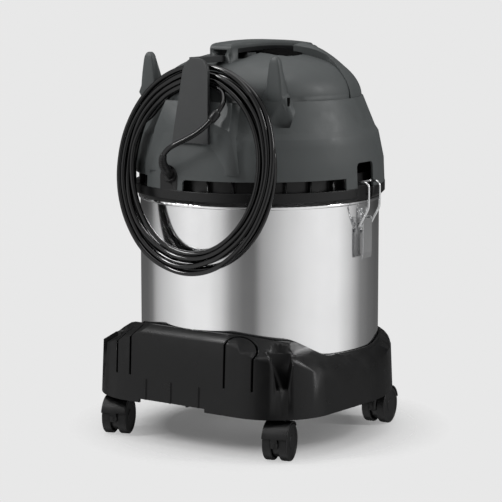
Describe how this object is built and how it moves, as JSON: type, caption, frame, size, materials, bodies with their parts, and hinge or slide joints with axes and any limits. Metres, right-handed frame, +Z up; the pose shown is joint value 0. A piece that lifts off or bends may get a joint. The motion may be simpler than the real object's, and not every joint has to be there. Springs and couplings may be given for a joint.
{
  "type": "wet and dry shop vacuum",
  "caption": "Upright wheeled shop vacuum: steel tank on a moulded chassis with swivel casters, lift-off motor head held by wire latches, cord wound on a rear hook.",
  "frame": {"origin": "on the floor under the tank's axis", "axes": "+Z up along the tank's axis, -Y towards the hose inlet, +Y towards the cable hook, +X to the side that is on the left seen from behind"},
  "size_m": [0.373, 0.3835, 0.539],
  "materials": {
    "black_plastic": "moulded, fine texture",
    "grey_plastic": "moulded, satin",
    "dark_plastic": "moulded, satin",
    "knob_plastic": "moulded",
    "float_plastic": "moulded",
    "stainless_steel": "polished, faint vertical grain",
    "latch_steel": "bright",
    "zinc_steel": "zinc plated",
    "wheel_rubber": "matt",
    "seal_rubber": "matt",
    "cord_rubber": "slightly glossy",
    "motor_metal": "painted",
    "rotor_metal": "lacquered windings",
    "fan_aluminium": "machined",
    "filter_paper": "pleated paper"
  },
  "bodies": {
    "chassis": {"chassis": "black_plastic", "chassis_screws": "zinc_steel", "caster_stems": "zinc_steel", "tank": "stainless_steel", "inlet_port": "black_plastic", "inlet_gasket": "seal_rubber", "inlet_locknut": "black_plastic", "inlet_deflector": "black_plastic", "latch_base_left": "latch_steel", "latch_base_right": "latch_steel", "latch_pin_left": "zinc_steel", "latch_pin_right": "zinc_steel", "latch_rivets": "zinc_steel"},
    "caster_rl": {"caster_hood_rl": "black_plastic", "caster_axle_rl": "zinc_steel"},
    "wheel_rl_a": {"wheel_rl_a": "wheel_rubber"},
    "wheel_rl_b": {"wheel_rl_b": "wheel_rubber"},
    "caster_rr": {"caster_hood_rr": "black_plastic", "caster_axle_rr": "zinc_steel"},
    "wheel_rr_a": {"wheel_rr_a": "wheel_rubber"},
    "wheel_rr_b": {"wheel_rr_b": "wheel_rubber"},
    "caster_fl": {"caster_hood_fl": "black_plastic", "caster_axle_fl": "zinc_steel"},
    "wheel_fl_a": {"wheel_fl_a": "wheel_rubber"},
    "wheel_fl_b": {"wheel_fl_b": "wheel_rubber"},
    "caster_fr": {"caster_hood_fr": "black_plastic", "caster_axle_fr": "zinc_steel"},
    "wheel_fr_a": {"wheel_fr_a": "wheel_rubber"},
    "wheel_fr_b": {"wheel_fr_b": "wheel_rubber"},
    "head": {"head_base": "black_plastic", "head_seal": "seal_rubber", "head_hood": "grey_plastic", "hood_screws": "zinc_steel", "handle_grip": "dark_plastic", "cable_hook": "dark_plastic", "cord_gland": "cord_rubber", "control_panel": "black_plastic", "motor_mount": "seal_rubber", "fan_housing": "motor_metal", "motor_can": "motor_metal", "motor_bearings": "motor_metal", "filter_cage": "black_plastic", "cartridge_filter": "filter_paper", "filter_cap": "black_plastic", "power_cord": "cord_rubber", "cord_coil": "cord_rubber", "cord_strap": "cord_rubber", "mains_plug": "cord_rubber"},
    "rotor": {"rotor": "rotor_metal", "fan_wheel": "fan_aluminium"},
    "float": {"float_ball": "float_plastic"},
    "knob": {"switch_knob": "knob_plastic"},
    "lever_left": {"latch_lever_left": "latch_steel"},
    "bail_left": {"latch_bail_left": "latch_steel"},
    "lever_right": {"latch_lever_right": "latch_steel"},
    "bail_right": {"latch_bail_right": "latch_steel"}
  },
  "joints": [
    {"name": "caster_swivel_rl", "type": "hinge", "parent": "chassis", "child": "caster_rl", "pos_m": [0.134, 0.143, 0.035], "axis": [0, 0, 1], "continuous": true},
    {"name": "wheel_spin_rl_a", "type": "hinge", "parent": "caster_rl", "child": "wheel_rl_a", "pos_m": [0.12973, 0.15475, 0.025], "axis": [0.9397, 0.342, 0], "continuous": true},
    {"name": "wheel_spin_rl_b", "type": "hinge", "parent": "caster_rl", "child": "wheel_rl_b", "pos_m": [0.12973, 0.15475, 0.025], "axis": [0.9397, 0.342, 0], "continuous": true},
    {"name": "caster_swivel_rr", "type": "hinge", "parent": "chassis", "child": "caster_rr", "pos_m": [-0.134, 0.143, 0.035], "axis": [0, 0, 1], "continuous": true},
    {"name": "wheel_spin_rr_a", "type": "hinge", "parent": "caster_rr", "child": "wheel_rr_a", "pos_m": [-0.13745, 0.15502, 0.025], "axis": [0.9613, 0.2756, 0], "continuous": true},
    {"name": "wheel_spin_rr_b", "type": "hinge", "parent": "caster_rr", "child": "wheel_rr_b", "pos_m": [-0.13745, 0.15502, 0.025], "axis": [0.9613, 0.2756, 0], "continuous": true},
    {"name": "caster_swivel_fl", "type": "hinge", "parent": "chassis", "child": "caster_fl", "pos_m": [0.134, -0.094, 0.035], "axis": [0, 0, 1], "continuous": true},
    {"name": "wheel_spin_fl_a", "type": "hinge", "parent": "caster_fl", "child": "wheel_fl_a", "pos_m": [0.13226, -0.10638, 0.025], "axis": [-0.9903, 0.1392, 0], "continuous": true},
    {"name": "wheel_spin_fl_b", "type": "hinge", "parent": "caster_fl", "child": "wheel_fl_b", "pos_m": [0.13226, -0.10638, 0.025], "axis": [-0.9903, 0.1392, 0], "continuous": true},
    {"name": "caster_swivel_fr", "type": "hinge", "parent": "chassis", "child": "caster_fr", "pos_m": [-0.134, -0.094, 0.035], "axis": [0, 0, 1], "continuous": true},
    {"name": "wheel_spin_fr_a", "type": "hinge", "parent": "caster_fr", "child": "wheel_fr_a", "pos_m": [-0.13226, -0.10638, 0.025], "axis": [-0.9903, -0.1392, 0], "continuous": true},
    {"name": "wheel_spin_fr_b", "type": "hinge", "parent": "caster_fr", "child": "wheel_fr_b", "pos_m": [-0.13226, -0.10638, 0.025], "axis": [-0.9903, -0.1392, 0], "continuous": true},
    {"name": "head_lift", "type": "slide", "parent": "chassis", "child": "head", "axis": [0, 0, 1], "range_m": [0, 0.25]},
    {"name": "rotor_spin", "type": "hinge", "parent": "head", "child": "rotor", "pos_m": [0, 0, 0.4], "axis": [0, 0, 1], "continuous": true},
    {"name": "float_rise", "type": "slide", "parent": "head", "child": "float", "axis": [0, 0, 1], "range_m": [0, 0.02]},
    {"name": "switch_turn", "type": "hinge", "parent": "head", "child": "knob", "pos_m": [0, -0.112, 0.493], "axis": [0, -0.788, 0.6157], "range_deg": [-90, 0]},
    {"name": "latch_lever_left", "type": "hinge", "parent": "chassis", "child": "lever_left", "pos_m": [0.1715, 0, 0.303], "axis": [0, -1, 0], "range_deg": [0, 110]},
    {"name": "latch_bail_left", "type": "hinge", "parent": "lever_left", "child": "bail_left", "pos_m": [0.17, 0, 0.294], "axis": [0, 1, 0], "range_deg": [0, 110]},
    {"name": "latch_lever_right", "type": "hinge", "parent": "chassis", "child": "lever_right", "pos_m": [-0.1715, 0, 0.303], "axis": [0, 1, 0], "range_deg": [0, 110]},
    {"name": "latch_bail_right", "type": "hinge", "parent": "lever_right", "child": "bail_right", "pos_m": [-0.17, 0, 0.294], "axis": [0, -1, 0], "range_deg": [0, 110]}
  ],
  "couplings": [
    {"joint": "latch_bail_left", "follows": "latch_lever_left", "ratio": 1},
    {"joint": "latch_bail_right", "follows": "latch_lever_right", "ratio": 1}
  ]
}
